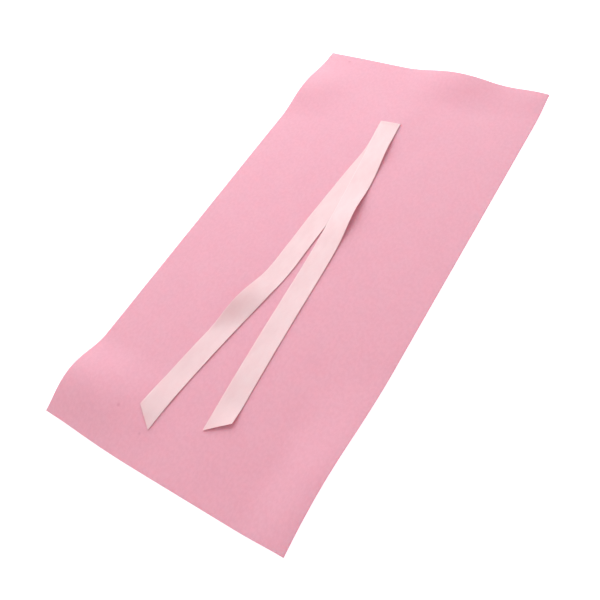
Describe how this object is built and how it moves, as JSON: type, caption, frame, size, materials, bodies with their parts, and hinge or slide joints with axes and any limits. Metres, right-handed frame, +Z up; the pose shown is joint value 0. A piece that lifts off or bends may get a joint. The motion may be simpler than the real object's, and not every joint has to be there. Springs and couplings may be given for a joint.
{
  "type": "tie-on patient gown panel",
  "caption": "Soft pink cloth panel lying on a table, with a satin ribbon folded in half and tacked near the top edge as two loose ties.",
  "frame": {"origin": "under the middle of the whole, on the table", "axes": "+X across the cloth to the right, +Y along the cloth towards the edge that the ribbon is tacked near, +Z up off the table"},
  "size_m": [0.3, 0.6, 0.015],
  "materials": {
    "pink_cloth": "matt soft pink felted cloth",
    "satin_ribbon": "pale pink satin weave with a soft sheen",
    "pink_thread": "pale pink sewing thread"
  },
  "bodies": {
    "panel": {"gown_panel": "pink_cloth", "ribbon_fold": "satin_ribbon", "tack_thread": "pink_thread"},
    "upper_tie": {"upper_tail": "satin_ribbon"},
    "upper_tie_end": {"upper_tip": "satin_ribbon"},
    "lower_tie": {"lower_tail": "satin_ribbon"},
    "lower_tie_end": {"lower_tip": "satin_ribbon"}
  },
  "joints": [
    {"name": "upper_tie_lift", "type": "hinge", "parent": "panel", "child": "upper_tie", "pos_m": [-0.00718, 0.18897, 0.00465], "axis": [-0.9956, -0.0936, 0.001], "range_deg": [0, 150]},
    {"name": "upper_tie_end_lift", "type": "hinge", "parent": "upper_tie", "child": "upper_tie_end", "pos_m": [0.01798, -0.06559, 0.0021], "axis": [-0.999, -0.0443, 0], "range_deg": [0, 70]},
    {"name": "lower_tie_lift", "type": "hinge", "parent": "panel", "child": "lower_tie", "pos_m": [-0.01405, 0.01144, 0.0021], "axis": [-0.9989, 0.0469, 0], "range_deg": [0, 120]},
    {"name": "lower_tie_end_lift", "type": "hinge", "parent": "lower_tie", "child": "lower_tie_end", "pos_m": [-0.03305, -0.14717, 0.00213], "axis": [-0.9877, 0.1565, 0.0021], "range_deg": [0, 70]}
  ]
}
